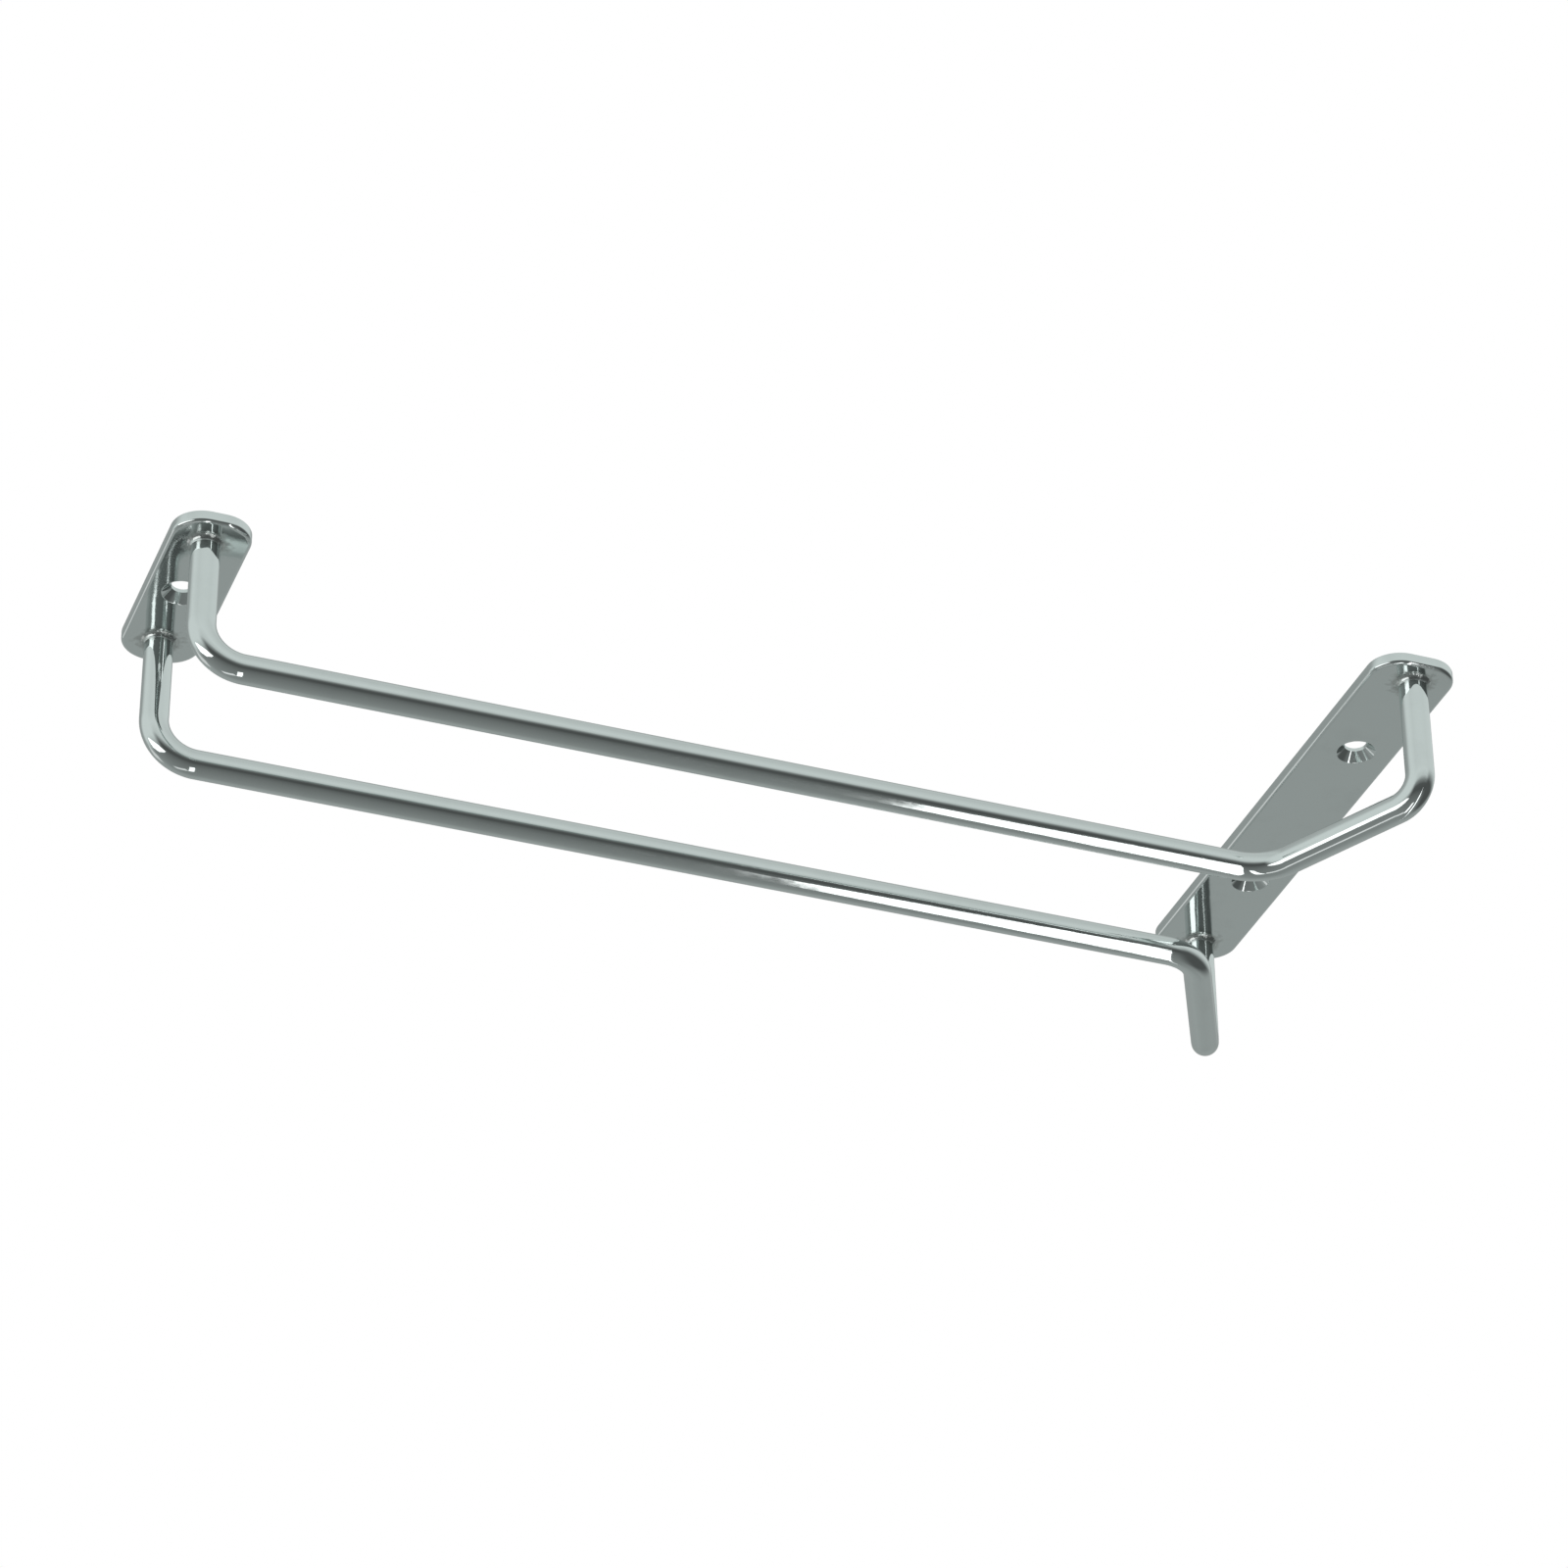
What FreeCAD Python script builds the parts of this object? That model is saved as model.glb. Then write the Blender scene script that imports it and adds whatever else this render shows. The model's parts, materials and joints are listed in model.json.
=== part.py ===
import FreeCAD, Part
import math
import os

# Under-shelf rack for stemmed glasses, welded from two bent rods and two strap plates.
#
# Frame: X runs along the rails, with +X towards the open front where a glass slides in.
# Z is up, towards the shelf. The origin is on the top face of the rear plate, on the
# axis of its screw hole, so the shelf's underside is the plane Z = 0.
# Left is -Y and right is +Y, as a person facing the open front sees them.

# ---- Overall sizes, in millimetres ----
overall_length = 254.0       # back edge of the rear plate to front edge of the front plate
overall_height = 32.5        # shelf's underside to the underside of the rails

# ---- Rods ----
rod_diameter = 5.8
rail_gap = 28.8              # clear space between the rails, where the stem hangs
mouth_gap = 98.6             # clear space between the front legs, where the foot goes in
flare_length = 17.8          # the splayed part of a rail, measured along X
rear_bend_radius = 8.8       # to the rod's centreline, where a rear leg turns into its rail
flare_bend_radius = 10.6     # to the rod's centreline, where a rail turns outwards
front_bend_radius = 5.8      # to the rod's centreline, where a flare turns up into its leg

# ---- Strap plates ----
plate_thickness = 2.5
plate_corner_radius = 6.5    # rounding of the four corners, seen from below
plate_edge_radius = 0.8      # rounding of the rim that faces down
rear_plate_width = 15.8      # along X
rear_plate_overhang = 7.45   # from a rear leg's axis to the nearest end of the plate
front_plate_width = 18.0     # along X
front_plate_overhang = 6.4   # from a front leg's axis to the nearest end of the plate
leg_offset = 0.65            # legs and holes stand this much nearer the rack's ends than
                             # their plate's middle does

# ---- Screw holes ----
screw_hole_diameter = 4.5
countersink_diameter = 8.0
countersink_angle = 90.0     # full angle of the cone, in degrees
front_hole_spacing = 52.0    # between the two holes of the front plate, along Y

# ---- Welds ----
weld_height = 1.0            # how far a weld bead climbs the leg
weld_width = 0.8             # how far it spreads over the plate
weld_bulge = 0.1             # how far the bead's face stands out of its flat cone

# ---- Places that follow from the sizes above ----
rod_radius = rod_diameter / 2
rail_y = (rail_gap + rod_diameter) / 2
front_leg_y = (mouth_gap + rod_diameter) / 2
rear_plate_x = leg_offset
front_plate_x = rear_plate_x + overall_length - (rear_plate_width + front_plate_width) / 2
front_leg_x = front_plate_x + leg_offset
flare_x = front_leg_x - flare_length
rail_z = rod_radius - overall_height
plate_underside_z = -plate_thickness
rear_plate_length = 2 * (rail_y + rear_plate_overhang)
front_plate_length = 2 * (front_leg_y + front_plate_overhang)

Vector = FreeCAD.Vector
UP = Vector(0, 0, 1)


def arc_around_corner(before, corner, after, radius):
    """Tangent arc that rounds a path's corner; returns its start, its end and the arc."""
    to_before = (before - corner).normalize()
    to_after = (after - corner).normalize()
    half_angle = to_before.getAngle(to_after) / 2
    setback = radius / math.tan(half_angle)
    start = corner + to_before * setback
    end = corner + to_after * setback
    inward = (to_before + to_after).normalize()
    middle = corner + inward * (radius / math.sin(half_angle) - radius)
    return start, end, Part.Arc(start, middle, end).toShape()


def rounded_path(corners, radii):
    """Wire through the corners, each inner corner rounded by its own radius."""
    edges = []
    reached = corners[0]
    for index, radius in enumerate(radii, start=1):
        start, end, arc = arc_around_corner(corners[index - 1], corners[index],
                                            corners[index + 1], radius)
        edges.append(Part.LineSegment(reached, start).toShape())
        edges.append(arc)
        reached = end
    edges.append(Part.LineSegment(reached, corners[-1]).toShape())
    return Part.Wire(edges)


def bent_rod(side):
    """One rod: rear leg, rail, flare and front leg. side is -1 for left, +1 for right."""
    corners = [
        Vector(0, side * rail_y, plate_underside_z),
        Vector(0, side * rail_y, rail_z),
        Vector(flare_x, side * rail_y, rail_z),
        Vector(front_leg_x, side * front_leg_y, rail_z),
        Vector(front_leg_x, side * front_leg_y, plate_underside_z),
    ]
    path = rounded_path(corners, [rear_bend_radius, flare_bend_radius, front_bend_radius])
    section = Part.Wire([Part.Circle(corners[0], UP, rod_radius).toShape()])
    return path.makePipeShell([section], True, True)


def screw_hole(x, y):
    """Cutter for one screw hole, countersunk from below."""
    bore_radius = screw_hole_diameter / 2
    rim_radius = countersink_diameter / 2
    cone_depth = (rim_radius - bore_radius) / math.tan(math.radians(countersink_angle / 2))
    bore = Part.makeCylinder(bore_radius, plate_thickness, Vector(x, y, plate_underside_z))
    cone = Part.makeCone(rim_radius, bore_radius, cone_depth, Vector(x, y, plate_underside_z))
    return bore.fuse(cone)


def strap_plate(x, width, length, hole_places):
    """Strap plate under the shelf, its corners and lower rim rounded and its holes cut."""
    corner = Vector(x - width / 2, -length / 2, plate_underside_z)
    plate = Part.makeBox(width, length, plate_thickness, corner)
    upright_edges = [edge for edge in plate.Edges if edge.BoundBox.ZLength > plate_thickness / 2]
    plate = plate.makeFillet(plate_corner_radius, upright_edges)
    lower_rim = [edge for edge in plate.Edges if edge.BoundBox.ZMax < plate_underside_z / 2]
    plate = plate.makeFillet(plate_edge_radius, lower_rim)
    for hole_x, hole_y in hole_places:
        plate = plate.cut(screw_hole(hole_x, hole_y))
    return plate


def weld_bead(x, y):
    """Ring of weld metal in the corner between a leg and the underside of its plate."""
    foot = Vector(x + rod_radius + weld_width, y, plate_underside_z)
    root = Vector(x + rod_radius, y, plate_underside_z)
    top = Vector(x + rod_radius, y, plate_underside_z - weld_height)
    outward = Vector(weld_height, 0, -weld_width).normalize()
    crown = (foot + top) * 0.5 + outward * weld_bulge
    profile = Part.Wire([
        Part.LineSegment(top, root).toShape(),
        Part.LineSegment(root, foot).toShape(),
        Part.Arc(foot, crown, top).toShape(),
    ])
    return Part.Face(profile).revolve(Vector(x, y, 0), UP, 360)


def export(node, shape):
    """Write one closed, correctly oriented solid as its node's STEP file."""
    solid = shape.Solids[0]
    if solid.Volume < 0:
        solid.reverse()
    if len(shape.Solids) != 1 or not solid.isValid():
        raise ValueError(node + " is not one valid solid")
    solid.exportStep(os.path.join("parts", node + ".step"))
    print(node, round(solid.Volume, 1), "mm3")


def build():
    os.makedirs("parts", exist_ok=True)
    rear_hole = [(0, 0)]
    front_holes = [(front_leg_x, side * front_hole_spacing / 2) for side in (-1, 1)]
    export("rear_plate", strap_plate(rear_plate_x, rear_plate_width, rear_plate_length, rear_hole))
    export("front_plate",
           strap_plate(front_plate_x, front_plate_width, front_plate_length, front_holes))
    for side, side_name in ((-1, "left"), (1, "right")):
        export(side_name + "_rod", bent_rod(side))
        export("rear_" + side_name + "_weld", weld_bead(0, side * rail_y))
        export("front_" + side_name + "_weld", weld_bead(front_leg_x, side * front_leg_y))


build()
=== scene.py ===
import json
import math

import bmesh
import bpy
from mathutils import Matrix, Vector


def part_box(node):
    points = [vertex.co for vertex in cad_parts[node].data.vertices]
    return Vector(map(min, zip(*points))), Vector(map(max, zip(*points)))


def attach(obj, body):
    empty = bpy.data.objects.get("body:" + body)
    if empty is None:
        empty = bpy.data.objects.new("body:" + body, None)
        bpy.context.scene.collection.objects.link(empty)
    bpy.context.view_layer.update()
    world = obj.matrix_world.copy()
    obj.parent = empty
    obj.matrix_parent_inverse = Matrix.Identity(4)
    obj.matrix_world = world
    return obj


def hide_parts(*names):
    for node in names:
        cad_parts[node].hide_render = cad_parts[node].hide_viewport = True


# Chrome rack for stemmed glasses that screws up under a shelf: two bent rods welded to two
# strap plates. X runs along the rails towards the open front, Z is up towards the shelf, and
# the shelf's underside is the plane Z = 0. Left is -Y, right is +Y. All sizes are in metres.

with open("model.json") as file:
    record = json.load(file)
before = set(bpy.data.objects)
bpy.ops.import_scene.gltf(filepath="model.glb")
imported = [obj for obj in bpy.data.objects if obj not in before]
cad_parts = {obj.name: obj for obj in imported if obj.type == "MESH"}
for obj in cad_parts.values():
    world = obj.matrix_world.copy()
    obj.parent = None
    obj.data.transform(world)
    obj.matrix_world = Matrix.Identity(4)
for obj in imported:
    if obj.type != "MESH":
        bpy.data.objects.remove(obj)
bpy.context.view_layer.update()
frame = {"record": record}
scene = bpy.context.scene

# ---- Sizes and places read from the frame ----
SIDES = (("left", -1), ("right", 1))
rear_plate_low, rear_plate_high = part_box("rear_plate")
front_plate_low, front_plate_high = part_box("front_plate")
left_rod_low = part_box("left_rod")[0]
rear_weld_low, rear_weld_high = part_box("rear_right_weld")
front_weld_low, front_weld_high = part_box("front_right_weld")

rear_leg = (rear_weld_low + rear_weld_high) / 2
front_leg = (front_weld_low + front_weld_high) / 2
underside_z = rear_plate_low.z
rod_radius = rear_leg.x - left_rod_low.x
rail_z = left_rod_low.z + rod_radius
mounts = {mount["name"]: mount for mount in frame["record"]["mounts"]}
bore_radius = mounts["front_screw_holes"]["dims"]["hole_r_mm"] / 1000
hole_spread = mounts["front_screw_holes"]["dims"]["spacing_y_mm"] / 2000
rear_hole = Vector(mounts["rear_screw_hole"]["pos_m"])
front_hole = Vector(mounts["front_screw_holes"]["pos_m"])

# ---- Sizes that the frame's boxes don't give ----
flare_length = 0.0178        # the splayed part of a rail, measured along X
rear_bend_radius = 0.0088
flare_bend_radius = 0.0106
front_bend_radius = 0.0058
plate_corner_radius = 0.0065
plate_edge_radius = 0.0008   # rounding of the rim that faces down
top_edge_break = 0.00025     # the upper rim is only broken, not rounded
countersink_radius = 0.004
hole_edge_break = 0.00012

# ---- Fineness of the meshes ----
ROD_SEGMENTS = 64
BEND_STEP = math.radians(3)
CORNER_SEGMENTS = 16
RIM_SEGMENTS = 8
EDGE_BREAK_SEGMENTS = 2
HOLE_SEGMENTS = 64
ROD_SHARP_ANGLE = math.radians(60)
SHARP_ANGLE = math.radians(40)


# =========================== Mesh helpers ===========================

def finished_piece(name, bm, material, sharp_angle=SHARP_ANGLE):
    """Turn a bmesh into a smooth-shaded piece of the rack that stands for its CAD node."""
    bmesh.ops.recalc_face_normals(bm, faces=bm.faces)
    for face in bm.faces:
        face.smooth = True
    mesh = bpy.data.meshes.new(name)
    bm.to_mesh(mesh)
    bm.free()
    mesh.set_sharp_from_angle(angle=sharp_angle)
    mesh.materials.append(material)
    piece = bpy.data.objects.new(name, mesh)
    scene.collection.objects.link(piece)
    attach(piece, "root")
    return piece


def even_normals(piece):
    """Keep flat faces flat to the eye where they run into a rounded rim."""
    weighted = piece.modifiers.new("even_normals", "WEIGHTED_NORMAL")
    weighted.mode = "FACE_AREA"
    weighted.keep_sharp = True


def verts_of(elements):
    return [element for element in elements if isinstance(element, bmesh.types.BMVert)]


def edges_of(elements):
    return [element for element in elements if isinstance(element, bmesh.types.BMEdge)]


def ring_of_edges(bm, edges):
    """Grow a ring of edges by one strip of faces; returns the new ring and its vertices."""
    grown = bmesh.ops.extrude_edge_only(bm, edges=edges)["geom"]
    verts = verts_of(grown)
    marked = set(verts)
    ring = [edge for edge in edges_of(grown) if marked.issuperset(edge.verts)]
    return ring, verts


# =========================== Bent rods ===========================

class WireBender:
    """Feeds round wire out of its start and bends it, as the maker's bending machine does."""

    def __init__(self, start, heading):
        self.bm = bmesh.new()
        self.unbent = self.bm.verts.layers.float_vector.new("unbent")
        turn = Vector((0, 0, 1)).rotation_difference(heading).to_matrix().to_4x4()
        made = bmesh.ops.create_circle(self.bm, cap_ends=True, segments=ROD_SEGMENTS,
                                       radius=rod_radius)
        for vert in made["verts"]:
            vert[self.unbent] = vert.co
        bmesh.ops.transform(self.bm, matrix=Matrix.Translation(start) @ turn,
                            verts=made["verts"])
        self.ring = list(self.bm.edges)
        self.tip = Vector(start)
        self.heading = Vector(heading).normalized()

    def grow(self, run):
        self.ring, verts = ring_of_edges(self.bm, self.ring)
        for vert in verts:
            vert[self.unbent] = vert[self.unbent] + Vector((0, 0, run))
        return verts

    def feed(self, run):
        bmesh.ops.translate(self.bm, verts=self.grow(run), vec=self.heading * run)
        self.tip += self.heading * run

    def feed_to(self, target, setback=0.0):
        """Feed straight on until the tip is setback short of the target corner."""
        self.feed((Vector(target) - self.tip).dot(self.heading) - setback)

    def bend(self, towards, radius):
        """Turn the heading to a new direction on an arc of the given radius."""
        towards = Vector(towards).normalized()
        axis = self.heading.cross(towards).normalized()
        angle = self.heading.angle(towards)
        centre = self.tip + axis.cross(self.heading) * radius
        steps = max(2, round(angle / BEND_STEP))
        small_turn = Matrix.Rotation(angle / steps, 3, axis)
        for _ in range(steps):
            verts = self.grow(radius * angle / steps)
            bmesh.ops.rotate(self.bm, cent=centre, matrix=small_turn, verts=verts)
            self.tip = centre + small_turn @ (self.tip - centre)
        self.heading = towards

    def cut_off(self):
        bmesh.ops.contextual_create(self.bm, geom=self.ring)
        return self.bm


def bend_setback(before, after, radius):
    """Length of straight wire that an arc takes up on each side of its corner."""
    return radius * math.tan(before.angle(after) / 2)


def bent_rod(side):
    """One rod: rear leg, rail, flare and front leg."""
    rail_start = Vector((rear_leg.x, side * rear_leg.y, rail_z))
    flare_start = Vector((front_leg.x - flare_length, side * rear_leg.y, rail_z))
    flare_end = Vector((front_leg.x, side * front_leg.y, rail_z))
    down, up, forward = Vector((0, 0, -1)), Vector((0, 0, 1)), Vector((1, 0, 0))
    outward = (flare_end - flare_start).normalized()

    wire = WireBender(Vector((rear_leg.x, side * rear_leg.y, underside_z)), down)
    wire.feed_to(rail_start, bend_setback(down, forward, rear_bend_radius))
    wire.bend(forward, rear_bend_radius)
    wire.feed_to(flare_start, bend_setback(forward, outward, flare_bend_radius))
    wire.bend(outward, flare_bend_radius)
    wire.feed_to(flare_end, bend_setback(outward, up, front_bend_radius))
    wire.bend(up, front_bend_radius)
    wire.feed_to(Vector((front_leg.x, side * front_leg.y, underside_z)))
    return wire.cut_off()


# =========================== Strap plates ===========================

def plate_outline(bm, low, high):
    """Rounded-corner outline of a strap plate at its underside, as a loop of edges."""
    corners = [bm.verts.new((x, y, underside_z))
               for x, y in ((low.x, low.y), (high.x, low.y), (high.x, high.y), (low.x, high.y))]
    bm.faces.new(corners)
    bmesh.ops.bevel(bm, geom=corners, offset=plate_corner_radius, offset_type="OFFSET",
                    affect="VERTICES", segments=CORNER_SEGMENTS, profile=0.5, material=-1)
    bm.faces.ensure_lookup_table()
    face = bm.faces[0]
    outline = list(face.edges)
    bmesh.ops.delete(bm, geom=[face], context="FACES_ONLY")
    return outline


def hole_rim(bm, centre):
    """Rim of one countersink at the plate's underside, as a loop of edges."""
    place = Matrix.Translation((centre.x, centre.y, underside_z))
    made = bmesh.ops.create_circle(bm, segments=HOLE_SEGMENTS, radius=countersink_radius,
                                   matrix=place)
    return list(dict.fromkeys(edge for vert in made["verts"] for edge in vert.link_edges))


def raise_ring(bm, ring, height):
    ring, verts = ring_of_edges(bm, ring)
    bmesh.ops.translate(bm, verts=verts, vec=(0, 0, height))
    return ring


def countersunk_wall(bm, rim, centre):
    """Cone and bore of one screw hole, from its rim at the underside up to the shelf."""
    cone_depth = countersink_radius - bore_radius
    cone_top, verts = ring_of_edges(bm, rim)
    shrink = bore_radius / countersink_radius
    about_axis = Matrix.Translation((-centre.x, -centre.y, 0))
    bmesh.ops.scale(bm, vec=(shrink, shrink, 1), space=about_axis, verts=verts)
    bmesh.ops.translate(bm, verts=verts, vec=(0, 0, cone_depth))
    return raise_ring(bm, cone_top, -underside_z - cone_depth)


def strap_plate(low, high, hole_centres):
    """Strap plate with rounded corners, a rounded lower rim and countersunk holes."""
    bm = bmesh.new()
    outline = plate_outline(bm, low, high)
    rims = [hole_rim(bm, centre) for centre in hole_centres]
    bmesh.ops.triangle_fill(bm, edges=outline + [edge for rim in rims for edge in rim],
                            use_beauty=True, normal=(0, 0, -1))
    top_loops = [raise_ring(bm, outline, -underside_z)]
    top_loops += [countersunk_wall(bm, rim, centre) for rim, centre in zip(rims, hole_centres)]
    bmesh.ops.triangle_fill(bm, edges=[edge for loop in top_loops for edge in loop],
                            use_beauty=True, normal=(0, 0, 1))
    bmesh.ops.recalc_face_normals(bm, faces=bm.faces)
    hole_edges = [edge for rim in rims for edge in rim]
    for edges, radius, segments in ((outline, plate_edge_radius, RIM_SEGMENTS),
                                    (top_loops[0], top_edge_break, EDGE_BREAK_SEGMENTS),
                                    (hole_edges, hole_edge_break, EDGE_BREAK_SEGMENTS)):
        bmesh.ops.bevel(bm, geom=edges, offset=radius, offset_type="OFFSET", affect="EDGES",
                        segments=segments, profile=0.5, material=-1)
    return bm


# =========================== Weld beads ===========================

BEAD_RIPPLES = 22            # ripples that the torch leaves round a leg
BEAD_LUMPS = 3               # broader swellings round the same ring
BEAD_LUMP_SHARE = 0.8        # their height against a ripple's
BEAD_RIPPLE_DEPTH = 0.00004
BEAD_FACE_STEPS = 8
BEAD_HOLLOW = 0.3            # how near the face's middle lies to the corner that it fills
BEAD_TURN_STEPS = 96
BEAD_INNER_SHARE = 0.97      # the ring's inner wall lies this far out in the leg, as a share
                             # of the leg's radius
MERGE_DISTANCE = 1e-7


def weld_bead(low, high, phase):
    """Ring of weld metal in the corner between a leg and the underside of its plate."""
    axis = (low + high) / 2
    spread = high.x - axis.x - rod_radius
    climb = high.z - low.z
    bm = bmesh.new()
    inner_x = axis.x + rod_radius * BEAD_INNER_SHARE
    root = bm.verts.new((inner_x, axis.y, high.z))
    top = bm.verts.new((inner_x, axis.y, low.z))
    rim = [top]
    for step in range(BEAD_FACE_STEPS + 1):
        share = step / BEAD_FACE_STEPS
        pull = 2 * share * (1 - share) * BEAD_HOLLOW
        rim.append(bm.verts.new((axis.x + rod_radius + spread * (share * share + pull),
                                 axis.y, high.z - climb * ((1 - share) ** 2 + pull))))
    rim.append(root)
    for index, vert in enumerate(rim):
        bm.edges.new((vert, rim[(index + 1) % len(rim)]))
    profile = list(bm.verts) + list(bm.edges)
    bmesh.ops.spin(bm, geom=profile, cent=axis, axis=(0, 0, 1), angle=math.tau,
                   steps=BEAD_TURN_STEPS, use_merge=True, use_duplicate=False)
    bmesh.ops.remove_doubles(bm, verts=bm.verts, dist=MERGE_DISTANCE)
    for vert in bm.verts:
        arm = Vector((vert.co.x - axis.x, vert.co.y - axis.y, 0))
        outside = max(0.0, arm.length - rod_radius) / spread
        turn = math.atan2(arm.y, arm.x)
        ripple = math.sin(BEAD_RIPPLES * turn + phase)
        lump = BEAD_LUMP_SHARE * math.sin(BEAD_LUMPS * turn + 2 * phase)
        inset = BEAD_RIPPLE_DEPTH * outside * (ripple + lump - 1 - BEAD_LUMP_SHARE)
        vert.co += arm.normalized() * inset
    return bm


# =========================== Shader helpers ===========================

class GraphBuilder:
    """Short ways to add nodes to one node tree and join them up."""

    def __init__(self, tree):
        self.tree = tree

    def node(self, kind, inputs=None, **settings):
        made = self.tree.nodes.new(kind)
        for key, value in settings.items():
            setattr(made, key, value)
        for key, value in (inputs or {}).items():
            if isinstance(value, bpy.types.NodeSocket):
                self.tree.links.new(value, made.inputs[key])
            else:
                made.inputs[key].default_value = value
        return made

    def math(self, operation, first, second=0.0):
        return self.node("ShaderNodeMath", {0: first, 1: second},
                         operation=operation).outputs[0]

    def noise(self, vector, scale, detail, roughness=0.5):
        return self.node("ShaderNodeTexNoise", {"Vector": vector, "Scale": scale,
                         "Detail": detail, "Roughness": roughness}).outputs["Fac"]

    def stretch(self, vector, scale):
        return self.node("ShaderNodeMapping", {"Vector": vector, "Scale": scale}).outputs[0]

    def remap(self, value, from_low, from_high, to_low=0.0, to_high=1.0):
        return self.node("ShaderNodeMapRange", {"Value": value, "From Min": from_low,
                         "From Max": from_high, "To Min": to_low, "To Max": to_high},
                         interpolation_type="SMOOTHSTEP").outputs[0]


def node_group(name, inputs, outputs):
    """New shader node group with named sockets; returns its builder, inputs and outputs."""
    tree = bpy.data.node_groups.new(name, "ShaderNodeTree")
    for label, kind, value in inputs:
        socket = tree.interface.new_socket(label, in_out="INPUT", socket_type=kind)
        if value is not None:
            socket.default_value = value
    for label, kind in outputs:
        tree.interface.new_socket(label, in_out="OUTPUT", socket_type=kind)
    graph = GraphBuilder(tree)
    return graph, graph.node("NodeGroupInput").outputs, graph.node("NodeGroupOutput").inputs


CLOSE_WAVE_SCALE = 4.3       # the close waves' scale against the broad ones'
CLOSE_WAVE_SHARE = 0.12      # and their height


def plating_waves_group():
    """Broad, very shallow waves that plating follows on drawn wire and rolled strap."""
    graph, given, put = node_group(
        "PlatingWaves",
        [("Vector", "NodeSocketVector", None), ("Scale", "NodeSocketFloat", 60.0)],
        [("Height", "NodeSocketFloat")])
    broad = graph.noise(given["Vector"], given["Scale"], 1.0)
    close = graph.noise(given["Vector"], graph.math("MULTIPLY", given["Scale"], CLOSE_WAVE_SCALE),
                        2.0)
    total = graph.math("ADD", broad, graph.math("MULTIPLY", close, CLOSE_WAVE_SHARE))
    graph.tree.links.new(total, put["Height"])
    return graph.tree


LINE_MARKED = (0.58, 0.75)   # noise levels between which a line begins to dull the chrome


def draw_lines_group():
    """Fine die or polishing lines; the vector is squeezed along the direction they run in."""
    graph, given, put = node_group(
        "DrawLines",
        [("Vector", "NodeSocketVector", None), ("Scale", "NodeSocketFloat", 2000.0)],
        [("Height", "NodeSocketFloat"), ("Mask", "NodeSocketFloat")])
    lines = graph.noise(given["Vector"], given["Scale"], 3.0, 0.6)
    graph.tree.links.new(lines, put["Height"])
    graph.tree.links.new(graph.remap(lines, *LINE_MARKED), put["Mask"])
    return graph.tree


SMUDGE_SCALE = 75.0
SMUDGE_EDGE = (0.5, 0.72)    # noise levels at a smudge's faint and full ends
SPECK_SCALE = 900.0
SPECK_EDGE = (0.1, 0.04)     # distances from a cell's point, in cells
DRIFT_SCALE = 260.0          # specks lie in drifts
DRIFT_EDGE = (0.6, 0.7)


def handling_group():
    """Hazy finger smudges and dust specks, as masks."""
    graph, given, put = node_group(
        "HandlingMarks",
        [("Vector", "NodeSocketVector", None)],
        [("Smudge", "NodeSocketFloat"), ("Speck", "NodeSocketFloat")])
    smudge = graph.remap(graph.noise(given["Vector"], SMUDGE_SCALE, 4.0, 0.6), *SMUDGE_EDGE)
    speck = graph.node("ShaderNodeTexVoronoi", {"Vector": given["Vector"],
                       "Scale": SPECK_SCALE}, feature="F1").outputs["Distance"]
    drift = graph.remap(graph.noise(given["Vector"], DRIFT_SCALE, 1.0), *DRIFT_EDGE)
    specks = graph.math("MULTIPLY", graph.remap(speck, *SPECK_EDGE), drift)
    graph.tree.links.new(smudge, put["Smudge"])
    graph.tree.links.new(specks, put["Speck"])
    return graph.tree


HAZE_AND_SHADE_PATCH_SCALE = 700.0     # patches that make the outer edge of the haze and its painted shade uneven
HAZE_AND_SHADE_PATCHES = (0.3, 0.7, 0.6, 1.4)   # noise levels, and the factors on the distance there
HAZE_AND_SHADE_FADE = (1.0, 0.15)      # shares of the reach where the haze and painted shade are gone and where they are full


def weld_haze_and_shade_group():
    """How near a point is to the welded joints, where heat and flux dull the plating; the same mask
    darkens the colour there as painted shade in the corner between leg and plate.
    """
    graph, given, put = node_group(
        "WeldHazeAndShade",
        [("Vector", "NodeSocketVector", None), ("Reach", "NodeSocketFloat", 0.003)],
        [("HazeAndShade", "NodeSocketFloat")])
    parts = graph.node("ShaderNodeSeparateXYZ", {0: given["Vector"]})
    nearest = None
    for leg in (rear_leg, front_leg):
        away_x = graph.math("SUBTRACT", parts.outputs["X"], leg.x)
        away_y = graph.math("SUBTRACT", graph.math("ABSOLUTE", parts.outputs["Y"]), leg.y)
        flat = graph.node("ShaderNodeCombineXYZ", {"X": away_x, "Y": away_y})
        radial = graph.math("SUBTRACT", graph.node("ShaderNodeVectorMath", {0: flat.outputs[0]},
                            operation="LENGTH").outputs["Value"], rod_radius)
        below = graph.math("SUBTRACT", underside_z, parts.outputs["Z"])
        gap = graph.math("MAXIMUM", graph.math("ABSOLUTE", radial), graph.math("ABSOLUTE", below))
        nearest = gap if nearest is None else graph.math("MINIMUM", nearest, gap)
    patchy = graph.remap(graph.noise(given["Vector"], HAZE_AND_SHADE_PATCH_SCALE, 3.0), *HAZE_AND_SHADE_PATCHES)
    ratio = graph.math("DIVIDE", graph.math("MULTIPLY", nearest, patchy), given["Reach"])
    graph.tree.links.new(graph.remap(ratio, *HAZE_AND_SHADE_FADE), put["HazeAndShade"])
    return graph.tree


# =========================== Chrome finishes ===========================

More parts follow.
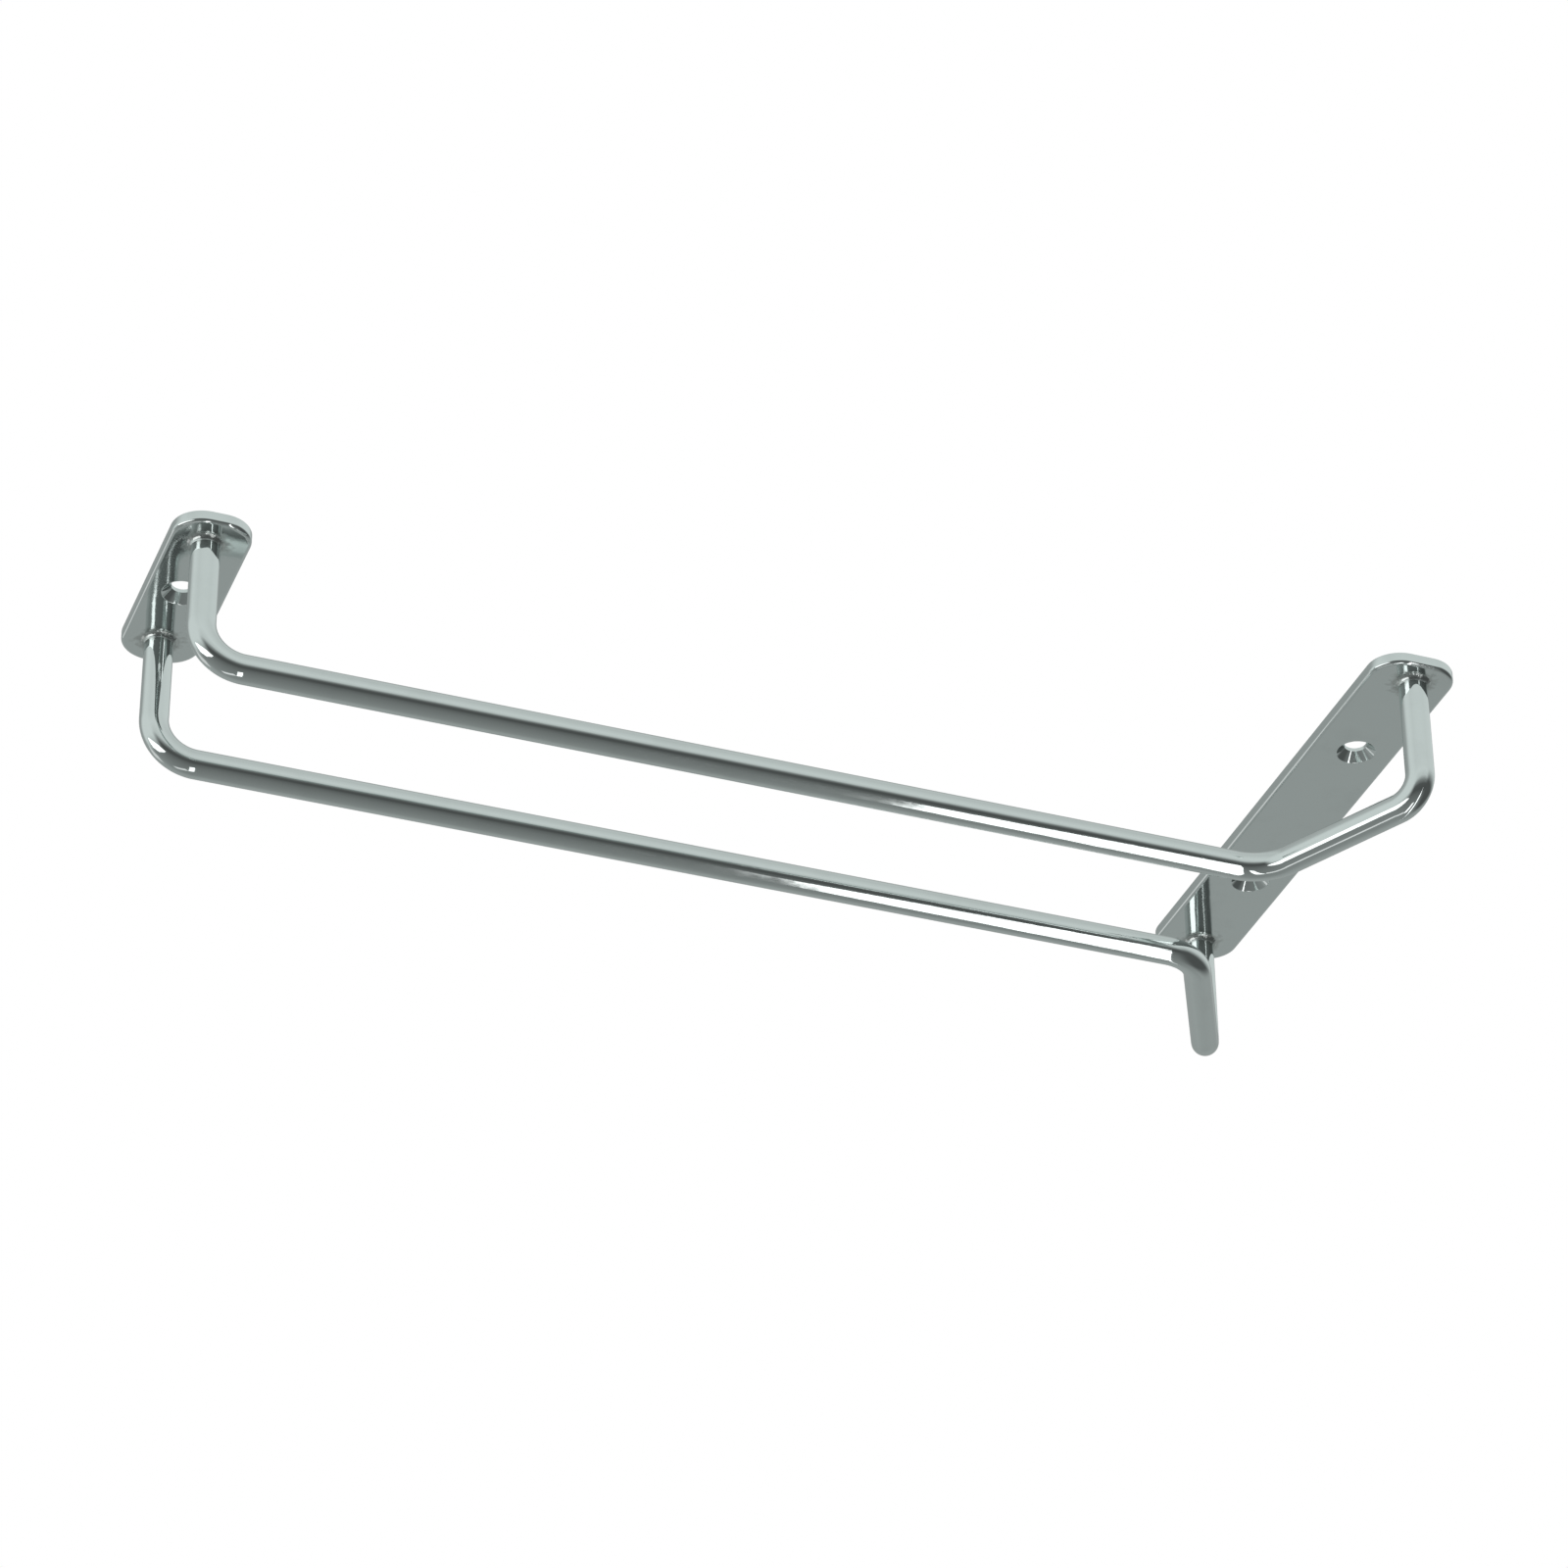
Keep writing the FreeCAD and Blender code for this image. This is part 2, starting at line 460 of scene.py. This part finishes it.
CHROME = (0.75, 0.80, 0.79, 1.0)
CHROME_SMUDGED = (0.65, 0.69, 0.68, 1.0)
# The darker colour below is painted shade by the welded joints, in the corner between leg and plate.
CHROME_HAZED_AND_SHADED = (0.44, 0.46, 0.44, 1.0)
SMUDGE_TINT = 0.35           # how far the smudged colour and the hazed colour come through; the hazed colour is painted shade by the welded joints
HAZE_AND_SHADE_TINT = 0.7
DULL_SMUDGE = 0.03           # roughness that each kind of mark adds
DULL_LINE = 0.03
DULL_HAZE = 0.16
DULL_SPECK = 0.2
WAVE_STRETCH = 0.25          # squeeze of the coordinates along a wave's or a line's run
LINE_STRETCH = 0.02

groups = {
    "waves": plating_waves_group(),
    "lines": draw_lines_group(),
    "handling": handling_group(),
    "haze_and_shade": weld_haze_and_shade_group(),
}


def chrome_material(name, wave_vector, wave_scale, wave_depth, line_vector, line_scale,
                    line_depth, roughness, haze_and_shade_reach):
    """Bright chrome plate; each _vector picks the coordinates that its relief follows."""
    material = bpy.data.materials.new(name)
    material.use_nodes = True
    graph = GraphBuilder(material.node_tree)
    shader = material.node_tree.nodes["Principled BSDF"]
    place = graph.node("ShaderNodeTexCoord").outputs["Object"]

    def group(key, inputs):
        return graph.node("ShaderNodeGroup", inputs, node_tree=groups[key]).outputs

    waves = group("waves", {"Vector": wave_vector(graph, place), "Scale": wave_scale})
    lines = group("lines", {"Vector": line_vector(graph, place), "Scale": line_scale})
    marks = group("handling", {"Vector": place})
    haze_and_shade = group("haze_and_shade", {"Vector": place, "Reach": haze_and_shade_reach})

    smudged = graph.node("ShaderNodeMix", {0: graph.math("MULTIPLY", marks["Smudge"], SMUDGE_TINT),
                         6: CHROME, 7: CHROME_SMUDGED}, data_type="RGBA").outputs[2]
    # Darker colour by the welded joints is painted shade in the corner between leg and plate; the added
    # roughness below is the real haze.
    hazed_and_shaded = graph.node("ShaderNodeMix", {0: graph.math("MULTIPLY", haze_and_shade["HazeAndShade"], HAZE_AND_SHADE_TINT),
                       6: smudged, 7: CHROME_HAZED_AND_SHADED}, data_type="RGBA").outputs[2]
    dull = roughness
    for mask, added in ((marks["Smudge"], DULL_SMUDGE), (lines["Mask"], DULL_LINE),
                        (haze_and_shade["HazeAndShade"], DULL_HAZE), (marks["Speck"], DULL_SPECK)):
        dull = graph.math("ADD", dull, graph.math("MULTIPLY", mask, added))

    broad = graph.node("ShaderNodeBump", {"Strength": 1.0, "Distance": wave_depth,
                       "Height": waves["Height"]})
    fine = graph.node("ShaderNodeBump", {"Strength": 1.0, "Distance": line_depth,
                      "Height": lines["Height"], "Normal": broad.outputs[0]})
    graph.tree.links.new(hazed_and_shaded, shader.inputs["Base Color"])
    graph.tree.links.new(dull, shader.inputs["Roughness"])
    graph.tree.links.new(fine.outputs[0], shader.inputs["Normal"])
    shader.inputs["Metallic"].default_value = 1.0
    return material


def unstretched(graph, place):
    """Waves and lines that have no run of their own."""
    return place


def waves_along_wire(graph, place):
    """The drawing die leaves waves that are several times longer than they are wide."""
    unbent = graph.node("ShaderNodeAttribute", attribute_name="unbent").outputs["Vector"]
    return graph.stretch(unbent, (1.0, 1.0, WAVE_STRETCH))


def lines_along_wire(graph, place):
    """Die lines follow the wire through its bends."""
    unbent = graph.node("ShaderNodeAttribute", attribute_name="unbent").outputs["Vector"]
    return graph.stretch(unbent, (1.0, 1.0, LINE_STRETCH))


def lines_along_strap(graph, place):
    """Polishing lines run along the strap, which lies in Y."""
    return graph.stretch(place, (1.0, LINE_STRETCH, 1.0))


rod_chrome = chrome_material(
    "rod_chrome", wave_vector=waves_along_wire, wave_scale=140.0, wave_depth=0.0001,
    line_vector=lines_along_wire, line_scale=1400.0, line_depth=0.0000008,
    roughness=0.05, haze_and_shade_reach=0.0022)
plate_chrome = chrome_material(
    "plate_chrome", wave_vector=unstretched, wave_scale=70.0, wave_depth=0.00005,
    line_vector=lines_along_strap, line_scale=1400.0, line_depth=0.0000008,
    roughness=0.06, haze_and_shade_reach=0.0022)
weld_chrome = chrome_material(
    "weld_chrome", wave_vector=unstretched, wave_scale=400.0, wave_depth=0.00004,
    line_vector=unstretched, line_scale=2500.0, line_depth=0.000004,
    roughness=0.10, haze_and_shade_reach=0.0012)


# =========================== The rack ===========================

SIDE_PHASE = 1.3             # turns each bead's ripples, so that no two beads are alike
END_PHASE = {"rear": 0.0, "front": 2.1}

for side_name, side in SIDES:
    rod = finished_piece("bent_wire_" + side_name, bent_rod(side), rod_chrome,
                         ROD_SHARP_ANGLE)
    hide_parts(side_name + "_rod")
    for end_name, end_phase in END_PHASE.items():
        node = end_name + "_" + side_name + "_weld"
        weld_low, weld_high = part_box(node)
        phase = SIDE_PHASE * side + end_phase
        bead = finished_piece("bead_" + end_name + "_" + side_name,
                              weld_bead(weld_low, weld_high, phase), weld_chrome)
        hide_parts(node)

front_holes = [Vector((front_hole.x, side * hole_spread, 0)) for _, side in SIDES]
for end_name, low, high, holes in (("rear", rear_plate_low, rear_plate_high, [rear_hole]),
                                   ("front", front_plate_low, front_plate_high, front_holes)):
    plate = finished_piece("strap_" + end_name, strap_plate(low, high, holes), plate_chrome)
    even_normals(plate)
    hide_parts(end_name + "_plate")


# =========================== Studio ===========================

# Brightness of the studio round a turn about the X axis: 0 is level towards -Y, a quarter is
# straight down, a half is level towards +Y and three quarters is straight up.
STUDIO_TURN = (
    (0.000, 0.27), (0.030, 0.10), (0.065, 0.085), (0.100, 0.14), (0.160, 0.19), (0.264, 0.24),
    (0.344, 0.28), (0.400, 0.36), (0.460, 0.39), (0.520, 0.37), (0.600, 0.35), (0.680, 0.45),
    (0.740, 0.62), (0.800, 0.60), (0.930, 0.72), (0.972, 0.62), (1.000, 0.27),
)
FRONT_GLOOM = 0.09           # the dark part of the room, past the open front and below it
FRONT_WALL = 0.36
FRONT_CEILING = 0.70
BACK_FLOOR = 0.24
BACK_WALL = 0.74
ROOM_TINT = (0.94, 1.0, 0.985, 1.0)
WHITE = (1.0, 1.0, 1.0, 1.0)

PALE = (0.86, 0.87, 0.87, 1.0)
FLOOR_ROUGHNESS = 0.8
FLOOR_Z = -0.95
FLOOR_REACH = 30.0
PANEL_DISTANCE = 12.0        # so far off that every piece mirrors a panel in one direction
BAND_STEPS = 12


def glowing_material(name, colour, strength):
    material = bpy.data.materials.new(name)
    material.use_nodes = True
    graph = GraphBuilder(material.node_tree)
    glow = graph.node("ShaderNodeEmission", {"Color": colour, "Strength": strength})
    graph.tree.links.new(glow.outputs[0], material.node_tree.nodes["Material Output"].inputs[0])
    return material


def card(name, low, high, material):
    """Flat sheet under the rack; low and high share their Z."""
    bm = bmesh.new()
    middle = (Vector(low) + Vector(high)) / 2
    size = Vector(high) - Vector(low)
    place = Matrix.Translation(middle) @ Matrix.Diagonal((size.x, size.y, 1, 1))
    bmesh.ops.create_grid(bm, x_segments=1, y_segments=1, size=0.5, matrix=place)
    mesh = bpy.data.meshes.new(name)
    bm.to_mesh(mesh)
    bm.free()
    mesh.materials.append(material)
    made = bpy.data.objects.new(name, mesh)
    scene.collection.objects.link(made)
    return made


def pale_floor_material():
    material = bpy.data.materials.new("pale_floor")
    material.use_nodes = True
    shader = material.node_tree.nodes["Principled BSDF"]
    shader.inputs["Base Color"].default_value = PALE
    shader.inputs["Roughness"].default_value = FLOOR_ROUGHNESS
    return material


def studio_world():
    """White to the eye; what the chrome mirrors is a grey room with a light ceiling."""
    world = bpy.data.worlds.new("studio")
    world.use_nodes = True
    scene.world = world
    graph = GraphBuilder(world.node_tree)
    facing = graph.node("ShaderNodeTexCoord").outputs["Generated"]
    parts = graph.node("ShaderNodeSeparateXYZ", {0: facing}).outputs
    turn = graph.math("ARCTAN2", parts["Z"], parts["Y"])
    turn = graph.math("ADD", graph.math("DIVIDE", turn, math.tau), 0.5)
    ramp = graph.node("ShaderNodeValToRGB", {"Fac": turn})
    stops = ramp.color_ramp.elements
    while len(stops) < len(STUDIO_TURN):
        stops.new(1.0)
    for stop, (place, level) in zip(stops, STUDIO_TURN):
        stop.position = place
        stop.color = (level, level, level, 1.0)

    # The numbers below are direction components at which one part of the room gives way to
    # the next.
    front_low = graph.remap(parts["Y"], 0.1, 0.5, FRONT_GLOOM, FRONT_WALL)
    front_high = graph.remap(parts["Z"], -0.05, 0.55, FRONT_GLOOM, FRONT_CEILING)
    front = graph.math("MAXIMUM", front_low, front_high)
    back = graph.remap(parts["Z"], -0.5, 0.0, BACK_FLOOR, BACK_WALL)
    towards_front = graph.math("MULTIPLY", graph.remap(parts["X"], 0.45, 0.8),
                               graph.remap(parts["Y"], 0.7, 0.45))
    towards_back = graph.remap(parts["X"], -0.6, -0.9)
    room = graph.node("ShaderNodeMix", {0: towards_front, 6: ramp.outputs["Color"], 7: front},
                      data_type="RGBA").outputs[2]
    room = graph.node("ShaderNodeMix", {0: towards_back, 6: room, 7: back},
                      data_type="RGBA").outputs[2]
    tinted = graph.node("ShaderNodeMix", {0: 1.0, 6: room, 7: ROOM_TINT}, data_type="RGBA",
                        blend_type="MULTIPLY").outputs[2]
    paths = graph.node("ShaderNodeLightPath").outputs
    seen = graph.node("ShaderNodeMix", {0: paths["Is Glossy Ray"], 6: WHITE, 7: tinted}, data_type="RGBA")
    background = world.node_tree.nodes["Background"]
    graph.tree.links.new(seen.outputs[2], background.inputs["Color"])


def band_outline(near_end, far_end):
    """Outline between two arcs about the X axis, each (x, start, end) with turns in degrees."""
    outline = []
    for x, start, end in (near_end, far_end):
        reach = math.sqrt(1.0 - x * x)
        for step in range(BAND_STEPS + 1):
            turn = math.radians(start + (end - start) * step / BAND_STEPS)
            outline.append((x, reach * math.cos(turn), reach * math.sin(turn)))
    return outline


def light_panel(name, outline, strength):
    """Distant lit panel that only the chrome sees; the outline is a list of directions."""
    bm = bmesh.new()
    bm.faces.new([bm.verts.new(Vector(way).normalized() * PANEL_DISTANCE) for way in outline])
    mesh = bpy.data.meshes.new(name)
    bm.to_mesh(mesh)
    bm.free()
    mesh.materials.append(glowing_material(name + "_glow", WHITE, strength))
    panel = bpy.data.objects.new(name, mesh)
    panel.visible_camera = False
    panel.visible_diffuse = False
    panel.visible_shadow = False
    scene.collection.objects.link(panel)


def soft_light(name, place, target, size, power):
    """Large soft light that lights the floor and stays out of the chrome's reflections."""
    data = bpy.data.lights.new(name, "AREA")
    data.shape = "DISK"
    data.size = size
    data.energy = power
    light = bpy.data.objects.new(name, data)
    light.location = place
    light.rotation_euler = (Vector(target) - Vector(place)).to_track_quat("-Z", "Y").to_euler()
    light.visible_glossy = False
    scene.collection.objects.link(light)


# Directions from the rack towards the corners of four of the panels, in order round each.
BACK_OUTLINE = (
    (-0.97, 0.22, -0.08), (-0.98, 0.0, -0.16), (-0.80, -0.50, -0.36), (-0.62, -0.60, -0.50),
    (-0.70, -0.42, -0.58), (-0.83, 0.0, -0.57), (-0.90, 0.26, -0.36),
)
SIDE_OUTLINE = (
    (-0.45, 0.88, -0.10), (-0.45, 0.76, -0.46), (-0.68, 0.56, -0.45), (-0.76, 0.64, -0.08),
)
LOW_OUTLINE = (
    (0.12, -0.50, -0.86), (0.12, 0.06, -0.99), (-0.02, 0.14, -0.99), (-0.02, -0.44, -0.90),
)
LOW_GLOW_OUTLINE = (
    (-0.02, 0.14, -0.99), (-0.30, 0.44, -0.85), (-0.42, 0.36, -0.84), (-0.12, 0.0, -0.99),
)
FRONT_OUTLINE = band_outline(near_end=(0.311, 226, 272), far_end=(0.40, 320, 200))

studio_world()
floor = card("floor", (-FLOOR_REACH, -FLOOR_REACH, FLOOR_Z), (FLOOR_REACH, FLOOR_REACH, FLOOR_Z),
             pale_floor_material())
floor.visible_glossy = False
light_panel("front_panel", FRONT_OUTLINE, strength=1.9)
light_panel("back_panel", BACK_OUTLINE, strength=1.7)
light_panel("side_panel", SIDE_OUTLINE, strength=0.72)
light_panel("low_panel", LOW_OUTLINE, strength=1.7)
light_panel("low_glow", LOW_GLOW_OUTLINE, strength=0.85)
floor_below = (0.12, 0, FLOOR_Z)
soft_light("key", place=(-0.6, -1.2, 1.4), target=floor_below, size=1.2, power=30)
soft_light("fill", place=(1.2, 0.8, 1.2), target=floor_below, size=1.6, power=16)


# =========================== Camera ===========================

CAMERA_PLACE = (-0.19884, -0.86064, -0.62275)
CAMERA_AZIMUTH = math.radians(-20.574)
CAMERA_ELEVATION = math.radians(-33.283)
CAMERA_ROLL = math.radians(-0.508)
CAMERA_LENS = 127.055        # millimetres, on a sensor 36 mm wide


def studio_camera():
    back = Vector((math.sin(CAMERA_AZIMUTH) * math.cos(CAMERA_ELEVATION),
                   -math.cos(CAMERA_AZIMUTH) * math.cos(CAMERA_ELEVATION),
                   math.sin(CAMERA_ELEVATION)))
    aim = (-back).to_track_quat("-Z", "Y").to_matrix().to_4x4()
    data = bpy.data.cameras.new("camera")
    data.sensor_width = 36.0
    data.lens = CAMERA_LENS
    data.clip_start = 0.01
    camera = bpy.data.objects.new("camera", data)
    camera.matrix_world = (Matrix.Translation(CAMERA_PLACE) @ aim
                           @ Matrix.Rotation(CAMERA_ROLL, 4, "Z"))
    scene.collection.objects.link(camera)
    scene.camera = camera


studio_camera()
scene.view_settings.view_transform = "Standard"
